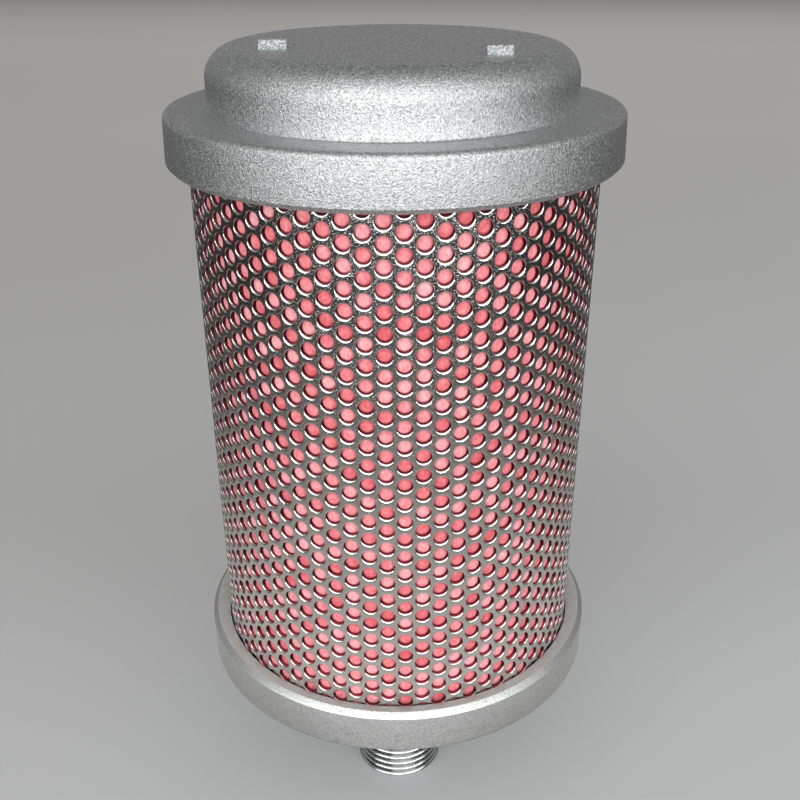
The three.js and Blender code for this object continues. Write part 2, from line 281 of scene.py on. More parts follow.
def perforated(name, lat, r_out, r_in, steps, sag=None, sides=None):
    """Closed tube wall with rolled-in holes. steps: (radius, depth, lean into the hole in degrees, lean after a crease);
    sag: how much deeper each step lies at the lower edge of the hole, most in the upper rows;
    sides: how much wider each step is away from the lower edge."""
    n_c, n_e = lat.ids.shape
    n_b = len(lat.points)
    rho, depth = [q[0] for q in steps], [q[1] for q in steps]
    leans = [(math.radians(q[2]), math.radians(q[-1])) for q in steps]
    rings, hole_r = len(rho), rho[-1]
    verts = [lat.place(lat.points[:, 0], lat.points[:, 1], r_out), lat.place(lat.points[:, 0], lat.points[:, 1], r_in)]
    ca, sa = np.cos(lat.turn), np.sin(lat.turn)
    ring_a, ring_z, ring_id, ring_n, ring_uv = [], [], [], [], []
    away = 1.0 - np.clip(-sa, 0.0, 1.0) ** 1.2
    low = np.clip(-sa, 0.0, 1.0) ** 1.8 * np.clip((lat.cells[:, 1:2] - 38.0) / 95.0, 0.1, 1.0)
    base = 2 * n_b
    walked = np.concatenate([[0], np.cumsum(np.hypot(np.diff(rho), np.diff(depth)))])
    span = lat.z1 - lat.z0

    def v_out(z):
        return 0.015 + 0.465 * (z - lat.z0) / span

    def v_in(z):
        return 0.515 + 0.465 * (z - lat.z0) / span

    for q in range(rings):
        rho_q = rho[q] + (sides[q] if sides else 0.0) * away
        a = lat.cells[:, 0:1] + rho_q * ca
        z = lat.cells[:, 1:2] + rho_q * sa
        drop = depth[q] + (sag[q] if sag else 0.0) * low
        verts.append(lat.place(a, z, r_out - drop).reshape(-1, 3))
        ring_id.append(base + q * n_c * n_e + np.arange(n_c * n_e).reshape(n_c, n_e))
        out, along = lat.frames(a)
        e_rho = along * ca[None, :, None]
        e_rho[..., 2] += sa[None, :]
        ring_n.append([out * math.cos(x) - e_rho * math.sin(x) for x in leans[q]])
        r_uv = rho[0] - walked[q] / walked[-1] * rho[0] * 0.55
        ring_uv.append(np.stack([lat.u(lat.cells[:, 0:1] + r_uv * ca), v_out(lat.cells[:, 1:2] + r_uv * sa)], -1))
    faces, uvs, nrm = [], [], []
    edge_a = lat.cells[:, 0:1] + lat.edge[None, :, 0]
    edge_z = lat.cells[:, 1:2] + lat.edge[None, :, 1]
    out_e, _ = lat.frames(edge_a)
    uv_e = np.stack([lat.u(edge_a), v_out(edge_z)], -1)
    faces.append(quads_of(lat.ids, ring_id[0]))
    uvs.append(corner_rows(uv_e, ring_uv[0]))
    nrm.append(corner_rows(out_e, ring_n[0][0]))
    for q in range(rings - 1):
        faces.append(quads_of(ring_id[q], ring_id[q + 1]))
        uvs.append(corner_rows(ring_uv[q], ring_uv[q + 1]))
        nrm.append(corner_rows(ring_n[q][1], ring_n[q + 1][0]))
    a_l, z_l = lat.cells[:, 0:1] + hole_r * ca, lat.cells[:, 1:2] + hole_r * sa
    out_l, _ = lat.frames(a_l)
    faces.append(quads_of(ring_id[-1], lat.ids + n_b))
    uvs.append(corner_rows(np.stack([lat.u(a_l), v_in(z_l)], -1), np.stack([lat.u(edge_a), v_in(edge_z)], -1)))
    nrm.append(corner_rows(-out_l, -out_e))
    n_v = base + rings * n_c * n_e
    # plain margins and the two cut ends
    for chain, z_end, side in ((lat.low_chain, lat.z0, -1), (lat.high_chain, lat.z1, 1)):
        a = np.array([c[0] for c in chain])
        z = np.array([c[1] for c in chain])
        ids = np.array([c[2] for c in chain])
        m = len(a)
        o_ids, i_ids = n_v + np.arange(m), n_v + m + np.arange(m)
        n_v += 2 * m
        verts += [lat.place(a, np.full(m, z_end), r_out), lat.place(a, np.full(m, z_end), r_in)]
        out, _ = lat.frames(a)
        a_next = np.append(a[1:], a[0] + lat.cols * lat.s)
        z_next = np.roll(z, -1)

        def quad(w, x, y, q4):
            return np.stack([w, x, y, q4], -1)

        def uvq(p):
            return np.stack([np.stack([lat.u(pa), pv], -1) for pa, pv in p], 1)

        nxt = lambda v: np.roll(v, -1, 0)
        e = np.full(m, z_end)
        zed = np.tile([0.0, 0.0, float(side)], (m, 1))
        if side < 0:
            faces.append(quad(o_ids, nxt(o_ids), nxt(ids), ids))
            uvs.append(uvq([(a, v_out(e)), (a_next, v_out(e)), (a_next, v_out(z_next)), (a, v_out(z))]))
            nrm.append(np.stack([out, nxt(out), nxt(out), out], 1))
            faces.append(quad(nxt(i_ids), i_ids, ids + n_b, nxt(ids) + n_b))
            uvs.append(uvq([(a_next, v_in(e)), (a, v_in(e)), (a, v_in(z)), (a_next, v_in(z_next))]))
            nrm.append(-np.stack([nxt(out), out, out, nxt(out)], 1))
            faces.append(quad(nxt(o_ids), o_ids, i_ids, nxt(i_ids)))
            lo, hi = np.full(m, 0.002), np.full(m, 0.010)
            uvs.append(uvq([(a_next, lo), (a, lo), (a, hi), (a_next, hi)]))
        else:
            faces.append(quad(ids, nxt(ids), nxt(o_ids), o_ids))
            uvs.append(uvq([(a, v_out(z)), (a_next, v_out(z_next)), (a_next, v_out(e)), (a, v_out(e))]))
            nrm.append(np.stack([out, nxt(out), nxt(out), out], 1))
            faces.append(quad(nxt(ids) + n_b, ids + n_b, i_ids, nxt(i_ids)))
            uvs.append(uvq([(a_next, v_in(z_next)), (a, v_in(z)), (a, v_in(e)), (a_next, v_in(e))]))
            nrm.append(-np.stack([nxt(out), out, out, nxt(out)], 1))
            faces.append(quad(o_ids, nxt(o_ids), nxt(i_ids), i_ids))
            lo, hi = np.full(m, 0.988), np.full(m, 0.996)
            uvs.append(uvq([(a, lo), (a_next, lo), (a_next, hi), (a, hi)]))
        nrm.append(np.stack([zed] * 4, 1))
    ob = new_object(
        name, np.concatenate(verts), np.concatenate(faces).tolist(),
        np.concatenate([x.reshape(-1, 4, 2) for x in uvs]), np.concatenate([x.reshape(-1, 4, 3) for x in nrm]),
    )
    # painted reflection: mask of the inner face and the hole walls, which the material paints
    painted_wall = np.zeros(n_v, np.float32)
    painted_wall[n_b:base] = 1.0
    for q in range(rings):
        painted_wall[ring_id[q].ravel()] = 1.0 if q == rings - 1 else 0.0
    # painted reflection and shade: the side walls of a hole stand opposite bare metal and are painted near black; the
    # lower wall stands opposite the felt and is painted the dark wine of the shaded felt it mirrors, lighter in the
    # lower rows
    side_wall_shade, foot = np.zeros(n_v, np.float32), np.zeros(n_v, np.float32)
    across = np.broadcast_to(np.clip((np.abs(ca) - 0.62) / 0.34, 0.0, 1.0), (n_c, n_e)).ravel()
    for q in range(rings):
        side_wall_shade[ring_id[q].ravel()] = across
        foot[ring_id[q].ravel()] = np.repeat(np.clip((112.0 - lat.cells[:, 1]) / 60.0, 0.0, 1.0), n_e)
    painted_wall[ring_id[-2].ravel()] = 0.16 * across
    ob.data.attributes.new("painted_wall", "FLOAT", "POINT").data.foreach_set("value", painted_wall)
    ob.data.attributes.new("side_wall_shade", "FLOAT", "POINT").data.foreach_set("value", side_wall_shade)
    ob.data.attributes.new("foot", "FLOAT", "POINT").data.foreach_set("value", foot)
    return ob


def felt_wrap(name, lat, r_out, r_in, spots, swell):
    """A felt layer that swells a little into every hole of the sheet outside it. spots: rising (radius, share of swell,
    strength of the painted shade).
    """
    n_c, n_e = lat.ids.shape
    n_b = len(lat.points)
    ca, sa = np.cos(lat.turn), np.sin(lat.turn)
    tone = rng.uniform(0, 1, n_c)
    high = swell * rng.uniform(0.55, 1.15, n_c)
    lean_a, lean_z = rng.normal(0, 0.10, n_c), rng.normal(0.06, 0.10, n_c)
    slant = rng.normal(0, 0.25, n_c)
    wob = rng.normal(0, 0.012, n_b)
    verts = [lat.place(lat.points[:, 0], lat.points[:, 1], r_out + wob)]
    tones, rim_shades = [np.full(n_b, 0.5)], [np.full(n_b, 1.0)]
    ring_id, ring_uv = [], []
    base, span = n_b, lat.z1 - lat.z0

    def v_of(z):
        return 0.02 + 0.72 * (z - lat.z0) / span

    for q, (rho, share, rim_shade) in enumerate(spots):
        a = lat.cells[:, 0:1] + rho * ca
        z = lat.cells[:, 1:2] + rho * sa
        tilt = 1 + (lean_a[:, None] * ca + lean_z[:, None] * sa) * (rho / 1.5)
        h = high[:, None] * share * tilt + rng.normal(0, 0.035 * (share > 0), (n_c, n_e))
        verts.append(lat.place(a, z, r_out + h).reshape(-1, 3))
        ring_id.append(base + q * n_c * n_e + np.arange(n_c * n_e).reshape(n_c, n_e))
        ring_uv.append(np.stack([lat.u(a), v_of(z)], -1))
        tones.append(np.repeat(tone, n_e))
        # painted shade: each ring darkens towards the lower edge of its hole, where the felt's lower slope turns from
        # the light
        shade = 0.03 + 0.97 * np.clip(0.08 - 1.0 * np.sin(lat.turn[None, :] + slant[:, None]), 0, 1)
        rim_shades.append((rim_shade * shade).ravel())
    mid_id = base + len(spots) * n_c * n_e + np.arange(n_c)
    verts.append(lat.place(lat.cells[:, 0], lat.cells[:, 1], r_out + high + rng.normal(0, 0.03, n_c)))
    tones.append(tone)
    rim_shades.append(np.zeros(n_c))
    n_v = base + len(spots) * n_c * n_e + n_c
    edge_a = lat.cells[:, 0:1] + lat.edge[None, :, 0]
    edge_z = lat.cells[:, 1:2] + lat.edge[None, :, 1]
    faces = quads_of(lat.ids, ring_id[0]).tolist()
    uvs = [corner_rows(np.stack([lat.u(edge_a), v_of(edge_z)], -1), ring_uv[0]).reshape(-1, 2)]
    for q in range(len(spots) - 1):
        faces += quads_of(ring_id[q], ring_id[q + 1]).tolist()
        uvs.append(corner_rows(ring_uv[q], ring_uv[q + 1]).reshape(-1, 2))
    last, nxt_last = ring_id[-1], np.roll(ring_id[-1], -1, 1)
    centre = np.repeat(mid_id[:, None], n_e, 1)
    faces += np.stack([last, nxt_last, centre], -1).reshape(-1, 3).tolist()
    uv_mid = np.repeat(np.stack([lat.u(lat.cells[:, 0]), v_of(lat.cells[:, 1])], -1)[:, None, :], n_e, 1)
    uvs.append(np.stack([ring_uv[-1], np.roll(ring_uv[-1], -1, 1), uv_mid], 2).reshape(-1, 2))
    ends = {}
    for chain, z_end, side in ((lat.low_chain, lat.z0, -1), (lat.high_chain, lat.z1, 1)):
        a, z = np.array([c[0] for c in chain]), np.array([c[1] for c in chain])
        ids, m = np.array([c[2] for c in chain]), len(chain)
        o_ids, i_ids = n_v + np.arange(m), n_v + m + np.arange(m)
        n_v += 2 * m
        verts += [lat.place(a, np.full(m, z_end), r_out - 0.15), lat.place(a, np.full(m, z_end), r_in)]
        tones.append(np.full(2 * m, 0.5))
        rim_shades.append(np.full(2 * m, 0.6))
        ends[side] = (a, i_ids)
        n_ = lambda v: np.roll(v, -1, 0)
        a_next = np.append(a[1:], a[0] + lat.cols * lat.s)
        z_next = np.roll(z, -1)
        e = np.full(m, z_end)

        def uvq(p):
            return np.stack([np.stack([lat.u(pa), pv], -1) for pa, pv in p], 1).reshape(-1, 2)

        if side < 0:
            faces += np.stack([o_ids, n_(o_ids), n_(ids), ids], -1).tolist()
            uvs.append(uvq([(a, v_of(e)), (a_next, v_of(e)), (a_next, v_of(z_next)), (a, v_of(z))]))
            faces += np.stack([n_(o_ids), o_ids, i_ids, n_(i_ids)], -1).tolist()
            lo, hi = np.full(m, 0.002), np.full(m, 0.016)
            uvs.append(uvq([(a_next, lo), (a, lo), (a, hi), (a_next, hi)]))
        else:
            faces += np.stack([ids, n_(ids), n_(o_ids), o_ids], -1).tolist()
            uvs.append(uvq([(a, v_of(z)), (a_next, v_of(z_next)), (a_next, v_of(e)), (a, v_of(e))]))
            faces += np.stack([o_ids, n_(o_ids), n_(i_ids), i_ids], -1).tolist()
            lo, hi = np.full(m, 0.745), np.full(m, 0.76)
            uvs.append(uvq([(a, lo), (a_next, lo), (a_next, hi), (a, hi)]))
    a, low = ends[-1]
    _, top = ends[1]
    n_ = lambda v: np.roll(v, -1, 0)
    a_next = np.append(a[1:], a[0] + lat.cols * lat.s)
    faces += np.stack([top, n_(top), n_(low), low], -1).tolist()
    lo, hi = np.full(len(a), 0.77), np.full(len(a), 0.99)
    uvs.append(np.stack([np.stack([lat.u(pa), pv], -1) for pa, pv in [(a, hi), (a_next, hi), (a_next, lo), (a, lo)]], 1).reshape(-1, 2))
    ob = new_object(name, np.concatenate(verts), faces, np.concatenate(uvs))
    for key, data in (("tone", tones), ("rim_shade", rim_shades)):
        at = ob.data.attributes.new(key, "FLOAT", "POINT")
        at.data.foreach_set("value", np.concatenate(data).astype(np.float32))
    return ob


# ---------------------------------------------------------------- materials
class Nodes:
    """A material's node tree with short calls."""

    def __init__(self, name):
        self.mat = bpy.data.materials.new(name)
        self.mat.use_nodes = True
        self.nt = self.mat.node_tree
        self.nt.nodes.clear()
        self.out = self.nt.nodes.new("ShaderNodeOutputMaterial")
        self.bsdf = self.nt.nodes.new("ShaderNodeBsdfPrincipled")
        self.nt.links.new(self.bsdf.outputs[0], self.out.inputs[0])
        self.coord = self.nt.nodes.new("ShaderNodeTexCoord").outputs["Object"]

    def put(self, socket, value):
        if isinstance(value, bpy.types.NodeSocket):
            self.nt.links.new(value, socket)
        elif isinstance(value, (tuple, list)) and socket.type == "RGBA" and len(value) == 3:
            socket.default_value = (*value, 1.0)
        else:
            socket.default_value = value

    def shader(self, **values):
        for key, value in values.items():
            self.put(self.bsdf.inputs[key.replace("_", " ")], value)
        return self.mat

    def scaled(self, factors, turn=(0, 0, 0)):
        n = self.nt.nodes.new("ShaderNodeMapping")
        self.put(n.inputs["Vector"], self.coord)
        n.inputs["Scale"].default_value = factors
        n.inputs["Rotation"].default_value = turn
        return n.outputs[0]

    def noise(self, scale, detail=2.0, rough=0.5, distort=0.0, vector=None, colour=False):
        n = self.nt.nodes.new("ShaderNodeTexNoise")
        self.put(n.inputs["Vector"], vector if vector is not None else self.coord)
        n.inputs["Scale"].default_value = scale
        n.inputs["Detail"].default_value = detail
        n.inputs["Roughness"].default_value = rough
        n.inputs["Distortion"].default_value = distort
        return n.outputs["Color" if colour else "Fac"]

    def voronoi(self, scale, feature="F1", vector=None, out="Distance", random=1.0):
        n = self.nt.nodes.new("ShaderNodeTexVoronoi")
        n.feature = feature
        self.put(n.inputs["Vector"], vector if vector is not None else self.coord)
        n.inputs["Scale"].default_value = scale
        n.inputs["Randomness"].default_value = random
        return n.outputs[out]

    def attribute(self, name):
        n = self.nt.nodes.new("ShaderNodeAttribute")
        n.attribute_type = "GEOMETRY"
        n.attribute_name = name
        return n.outputs["Fac"]

    def span(self, value, a, b, c, d, smooth=False):
        n = self.nt.nodes.new("ShaderNodeMapRange")
        n.interpolation_type = "SMOOTHSTEP" if smooth else "LINEAR"
        for key, x in zip(("Value", "From Min", "From Max", "To Min", "To Max"), (value, a, b, c, d)):
            self.put(n.inputs[key], x)
        return n.outputs[0]

    def math(self, how, a, b=0.0, c=0.0):
        n = self.nt.nodes.new("ShaderNodeMath")
        n.operation = how
        for s, x in zip(n.inputs, (a, b, c)):
            self.put(s, x)
        return n.outputs[0]

    def mix(self, fac, a, b, how="MIX"):
        n = self.nt.nodes.new("ShaderNodeMix")
        n.data_type, n.blend_type = "RGBA", how
        sockets = [s for s in n.inputs if s.enabled]
        self.put(sockets[0], fac)
        self.put(sockets[1], a)
        self.put(sockets[2], b)
        return [s for s in n.outputs if s.enabled][0]

    def ramp(self, fac, stops):
        n = self.nt.nodes.new("ShaderNodeValToRGB")
        self.put(n.inputs[0], fac)
        els = n.color_ramp.elements
        while len(els) < len(stops):
            els.new(0.5)
        for el, (pos, col) in zip(els, stops):
            el.position, el.color = pos, (*col, 1.0)
        return n.outputs[0]

    def bump(self, height, distance, strength=1.0, under=None):
        n = self.nt.nodes.new("ShaderNodeBump")
        self.put(n.inputs["Height"], height)
        n.inputs["Distance"].default_value = distance
        n.inputs["Strength"].default_value = strength
        if under is not None:
            self.put(n.inputs["Normal"], under)
        return n.outputs[0]

    def axis(self, which):
        n = self.nt.nodes.new("ShaderNodeSeparateXYZ")
        self.put(n.inputs[0], self.coord)
        return n.outputs[which]


def turned_rim(name, light, metal, blur):
    """Edge of the lower cap, turned after blasting."""
    m = Nodes(name)
    wide = m.noise(45, 2.0, 0.5)
    fine = m.noise(3800, 1.5, 0.5)
    pits = m.noise(2900, 2.0, 0.6, 0.3)
    grit = m.math("ADD", m.math("MULTIPLY", fine, 0.45), m.math("MULTIPLY", pits, 0.35))
    colour = m.ramp(m.math("ADD", m.math("MULTIPLY", wide, 0.2), grit), [
        (0.36, (0.52 * light, 0.53 * light, 0.52 * light)), (0.47, (0.88 * light, 0.91 * light, 0.89 * light)),
        (0.60, (0.97 * light, 0.99 * light, 0.975 * light)),
    ])
    rough = m.span(fine, 0.3, 0.7, blur, blur + 0.10)
    return m.shader(Base_Color=colour, Metallic=metal, Roughness=rough, Normal=m.bump(pits, 0.00017, 0.75))


def cast_aluminium(name, light=1.0, grain=1.0, blur=0.0, contrast=1.0, size=1.0):
    m = Nodes(name)
    pits = m.noise(3000 / size, 2.0, 0.6, 0.3)
    fine = m.noise(6400 / size, 1.5, 0.6)
    coarse = m.noise(1500 / size, 2.0, 0.6, 0.2)
    wide = m.noise(55, 3.0, 0.5)
    tone = m.math("ADD", m.math("MULTIPLY", pits, 0.45), m.math("MULTIPLY", fine, 0.33))
    tone = m.math("ADD", tone, m.math("MULTIPLY", coarse, 0.22))
    colour = m.ramp(tone, [
        (0.50 - 0.14 / contrast, (0.27 * light, 0.283 * light, 0.29 * light)),
        (0.50, (0.54 * light, 0.558 * light, 0.562 * light)),
        (0.50 + 0.14 / contrast, (min(0.84 * light, 0.97), min(0.86 * light, 0.98), min(0.86 * light, 0.98))),
    ])
    colour = m.mix(m.span(wide, 0.35, 0.65, 0.0, 0.16), colour, (0.50, 0.52, 0.52), "MIX")
    rough = m.math("ADD", m.span(pits, 0.3, 0.7, 0.38, 0.50), blur)
    normal = m.bump(m.math("ADD", pits, m.math("MULTIPLY", fine, 0.5)), 0.00017 * grain, 0.8)
    return m.shader(Base_Color=colour, Metallic=1.0, Roughness=rough, Normal=normal)


def sheet_steel(name):
    m = Nodes(name)
    wide = m.noise(90, 3.0, 0.55)
    fine = m.noise(2600, 2.0, 0.6)
    specks = m.span(m.noise(5200, 1.0, 0.5), 0.60, 0.80, 0.0, 1.0)
    drawn = m.noise(700, 3.0, 0.6, vector=m.scaled((1.0, 1.0, 0.06)))
    colour = m.ramp(m.math("ADD", m.math("MULTIPLY", wide, 0.5), m.math("MULTIPLY", fine, 0.5)), [
        (0.32, (0.76, 0.75, 0.73)), (0.55, (0.86, 0.85, 0.83)), (0.75, (0.92, 0.91, 0.90)),
    ])
    rough = m.math("ADD", m.span(wide, 0.3, 0.7, 0.07, 0.11), m.span(fine, 0.35, 0.7, 0.0, 0.03))
    # painted reflection and shade on the hole walls: dark wine for the shaded felt the lower wall mirrors, lighter in
    # the lower rows, near black on the side walls
    painted_wall = m.span(m.attribute("painted_wall"), 0.04, 0.22, 0.0, 1.0)
    side_wall_shade = m.span(m.attribute("side_wall_shade"), 0.0, 1.0, 0.0, 1.0)
    foot = m.span(m.attribute("foot"), 0.0, 1.0, 0.0, 1.0)
    wall = m.mix(foot, (0.27, 0.050, 0.080), (0.52, 0.14, 0.18))
    colour = m.mix(painted_wall, colour, m.mix(side_wall_shade, wall, (0.09, 0.028, 0.034)))
    rough = m.math("ADD", rough, m.math("MULTIPLY", painted_wall, 0.35))
    first = m.bump(drawn, 0.00002, 0.3)
    normal = m.bump(m.math("ADD", m.math("MULTIPLY", fine, 0.9), specks), 0.000026, 0.6, under=first)
    return m.shader(Base_Color=colour, Metallic=1.0, Roughness=rough, Normal=normal)


def pink_felt(name):
    m = Nodes(name)
    patch = m.noise(160, 2.0, 0.5)
    tuft = m.noise(950, 2.0, 0.6)
    fibre = m.noise(2600, 3.0, 0.7, 0.6, vector=m.scaled((1.0, 1.0, 0.45)))
    tone = m.math("ADD", m.math("MULTIPLY", m.attribute("tone"), 0.62), m.math("MULTIPLY", patch, 0.45))
    tone = m.math("ADD", tone, m.span(tuft, 0.3, 0.7, -0.14, 0.16))
    colour = m.ramp(m.math("SUBTRACT", tone, 0.05), [
        (0.12, (0.66, 0.115, 0.13)), (0.40, (0.85, 0.26, 0.28)), (0.66, (0.92, 0.40, 0.42)), (0.95, (0.95, 0.54, 0.56)),
    ])
    colour = m.mix(m.span(fibre, 0.35, 0.66, 0.48, 0.0), colour, (0.52, 0.06, 0.09))
    # painted shade: the felt turns dark wine towards the lower edge of each hole
    edge = m.math("ADD", m.attribute("rim_shade"), m.span(tuft, 0.3, 0.7, -0.10, 0.10))
    colour = m.mix(m.span(edge, 0.12, 0.90, 0.0, 0.90, True), colour, (0.26, 0.012, 0.034))
    normal = m.bump(m.math("ADD", fibre, m.math("MULTIPLY", tuft, 0.8)), 0.0003, 0.6)
    mat = m.shader(Base_Color=colour, Roughness=m.span(fibre, 0.3, 0.7, 0.86, 0.98), Normal=normal)
    m.bsdf.inputs["Specular IOR Level"].default_value = 0.25
    m.bsdf.inputs["Sheen Weight"].default_value = 0.25
    m.bsdf.inputs["Sheen Roughness"].default_value = 0.5
    m.bsdf.inputs["Sheen Tint"].default_value = (1.0, 0.78, 0.80, 1.0)
    return mat


def grey_felt(name):
    m = Nodes(name)
    fibre = m.noise(1800, 3.0, 0.7, 0.8, vector=m.scaled((1.0, 1.0, 0.5)))
    patch = m.noise(220, 2.0, 0.5)
    colour = m.ramp(m.math("ADD", m.math("MULTIPLY", fibre, 0.6), m.math("MULTIPLY", patch, 0.4)), [
        (0.30, (0.22, 0.21, 0.19)), (0.52, (0.42, 0.40, 0.37)), (0.72, (0.60, 0.58, 0.54)),
    ])
    mat = m.shader(Base_Color=colour, Roughness=m.span(fibre, 0.3, 0.7, 0.88, 0.99), Normal=m.bump(fibre, 0.0003, 0.6))
    m.bsdf.inputs["Sheen Weight"].default_value = 0.2
    return mat


def bright_plate(name):
    m = Nodes(name)
    wide = m.noise(260, 3.0, 0.5)
    lines = m.noise(900, 2.0, 0.6, vector=m.scaled((0.10, 0.10, 5.0)))
    colour = m.ramp(wide, [(0.3, (0.72, 0.73, 0.74)), (0.7, (0.84, 0.85, 0.86))])
    rough = m.math("ADD", m.span(wide, 0.3, 0.7, 0.09, 0.16), m.span(lines, 0.4, 0.7, 0.0, 0.06))
    return m.shader(Base_Color=colour, Metallic=1.0, Roughness=rough, Normal=m.bump(lines, 0.00001, 0.5))


def turned_steel(name):
    m = Nodes(name)
    wide = m.noise(180, 3.0, 0.5)
    fine = m.noise(3000, 2.0, 0.6)
    lines = m.noise(1100, 2.0, 0.6, vector=m.scaled((0.12, 0.12, 4.0)))
    colour = m.ramp(m.math("ADD", m.math("MULTIPLY", wide, 0.6), m.math("MULTIPLY", fine, 0.4)), [
        (0.3, (0.40, 0.41, 0.42)), (0.7, (0.62, 0.63, 0.63)),
    ])
    rough = m.span(wide, 0.3, 0.7, 0.30, 0.46)
    return m.shader(Base_Color=colour, Metallic=1.0, Roughness=rough, Normal=m.bump(lines, 0.00002, 0.5))


def rubber(name):
    m = Nodes(name)
    fine = m.noise(2500, 2.0, 0.6)
    colour = m.ramp(fine, [(0.3, (0.012, 0.012, 0.013)), (0.7, (0.035, 0.035, 0.038))])
    return m.shader(Base_Color=colour, Roughness=m.span(fine, 0.3, 0.7, 0.62, 0.85), Normal=m.bump(fine, 0.00004, 0.5))


def fibre_ring(name):
    m = Nodes(name)
    fine = m.noise(1500, 3.0, 0.7, vector=m.scaled((1, 1, 0.3)))
    colour = m.ramp(fine, [(0.3, (0.20, 0.045, 0.03)), (0.55, (0.32, 0.085, 0.055)), (0.75, (0.42, 0.14, 0.09))])
    return m.shader(Base_Color=colour, Roughness=m.span(fine, 0.3, 0.7, 0.7, 0.9), Normal=m.bump(fine, 0.00005, 0.6))


# painted light: the lower cap gets a copy of the casting made 1.3 times lighter, standing in for more light on it
LIT_LOW_CAST = cast_aluminium("blasted_casting_low_lit", 1.30, 0.55, 0.04, 0.55)
MAT = {
    "cast_aluminium": cast_aluminium("blasted_casting"),
    "perforated_steel": sheet_steel("bright_sheet"),
    "plain_steel": turned_steel("turned_steel"),
    "chromed_steel": bright_plate("bright_plate"),
    "pink_felt": pink_felt("pink_felt"),
    "grey_felt": grey_felt("grey_felt"),
    "seal_rubber": rubber("seal_rubber"),
    "seal_fibre": fibre_ring("seal_fibre"),
}
SLOT_OF = {p["node"]: p["material_slot"] for p in frame["record"]["subparts"]}
BODY_OF = {n: b for b, nodes in frame["record"]["behaviour"]["bodies"].items() for n in nodes}


def stand_for(ob, node, mats=None):
    """Gives ob the node's body, slot and material, and hides the node."""
    ob.name = node + "_look"
    ob.data.name = ob.name
    slot = SLOT_OF[node]
    if not ob.data.materials:
        ob.data.materials.append(MAT[slot])
    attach(ob, BODY_OF[node])
    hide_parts(node)
    return ob


# --------------------------------------------------------------- the pieces
# outer tube and the felt behind it share one grid of holes
TUBE_Z0, TUBE_Z1 = 46.5, 161.6
sheet_grid = Lattice(39.7, 72, 4.0, 111.76, TUBE_Z0, TUBE_Z1, 3, phase=0.0390)
tube = perforated("tube", sheet_grid, 40.0, 39.0, [(1.78, 0.0, 2), (1.66, 0.02, 13, 13), (1.45, 0.12, 60, 80), (1.42, 1.0, 89)],
                  (0.0, 0.01, 0.30, 0.0), (0.0, -0.04, 0.09, 0.09))
stand_for(tube, "outer_perforated_tube")

felt_grid = Lattice(39.7, 72, 4.0, 111.76, 46.8, 156.0, 2, phase=0.0390, margin=0.1)
felt_outer = felt_wrap("felt_outer", felt_grid, 38.88, 31.7, [(1.60, 0.0, 1.0), (1.38, 0.62, 0.95), (0.90, 0.94, 0.16)], 0.62)
stand_for(felt_outer, "felt_outer_wrap")

inner_grid = Lattice(31.4, 44, 5.2, 101.4, 46.8, 156.0, 1, phase=0.02)
felt_inner = felt_wrap("felt_inner", inner_grid, 31.36, 24.3, [(1.6, 0.0, 0.7), (0.8, 0.6, 0.3)], 0.12)
stand_for(felt_inner, "felt_inner_wrap")

core_grid = Lattice(23.6, 22, 8.0, 101.4, 46.8, 156.0, 2, phase=0.05)
core = perforated("core", core_grid, 24.0, 23.2, [(2.7, 0.0, 8), (2.56, 0.1, 45), (2.5, 0.8, 89)])
stand_for(core, "core_tube")

pipe_grid = Lattice(8.05, 8, 26.9, 101.65, 50.3, 153.0, 4, phase=0.0)
pipe = perforated("pipe", pipe_grid, 8.7, 7.4, [(3.25, 0.0, 8), (3.07, 0.12, 45), (3.0, 1.3, 89)])
stand_for(pipe, "diffuser_pipe")


# end caps
def bottom_cap():
    prof = rounded([
        (10.55, 33.0, 0.3), (34.0, 33.0, 7.0), (34.32, 42.1, 0.8), (44.1, 42.1, 0.7),
        (44.15, 50.8, 0.22), (43.0, 51.9, 0.2), (40.24, 50.9, 0.1), (40.24, 50.1, 0.1), (41.0, 49.4, 0.1), (41.0, 44.5, 0.3),
        (33.5, 44.5, 0.4), (31.3, 39.6, 1.6), (28.9, 37.0, 1.4), (10.55, 37.0, 0.3),
    ])
    cap = lathe("bottom_cap_mesh", prof, 288, 0.6)
    cap.data.materials.append(LIT_LOW_CAST)
    cap.data.materials.append(turned_rim("turned_bevel", 1.0, 1.0, 0.30))
    cap.data.materials.append(turned_rim("turned_seat", 0.66, 0.12, 0.62))
    for f in cap.data.polygons:
        x, y, z = f.center
        if z > 50.72 * MM and 40.1 * MM < math.hypot(x, y):
            f.material_index = 1 if math.hypot(x, y) > 43.0 * MM else 2
    return stand_for(cap, "bottom_cap")


